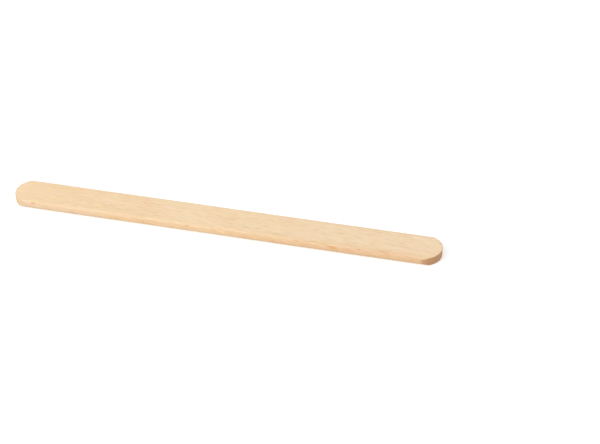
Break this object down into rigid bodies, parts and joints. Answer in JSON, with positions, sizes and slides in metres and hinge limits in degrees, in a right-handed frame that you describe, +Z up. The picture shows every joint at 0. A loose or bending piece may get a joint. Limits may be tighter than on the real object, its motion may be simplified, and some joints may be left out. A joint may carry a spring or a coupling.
{
  "type": "wooden spatula",
  "caption": "Small flat wooden spatula: a straight strip of pale beech with full-round ends and softly rounded long edges, used to scoop, spread or stir.",
  "frame": {"origin": "middle of the flat face that it lies on", "axes": "+X along its length, +Y across its width, +Z up through its thickness"},
  "size_m": [0.114, 0.01, 0.0023],
  "materials": {
    "beech": "matte"
  },
  "bodies": {
    "root": {"spatula": "beech"}
  },
  "joints": []
}
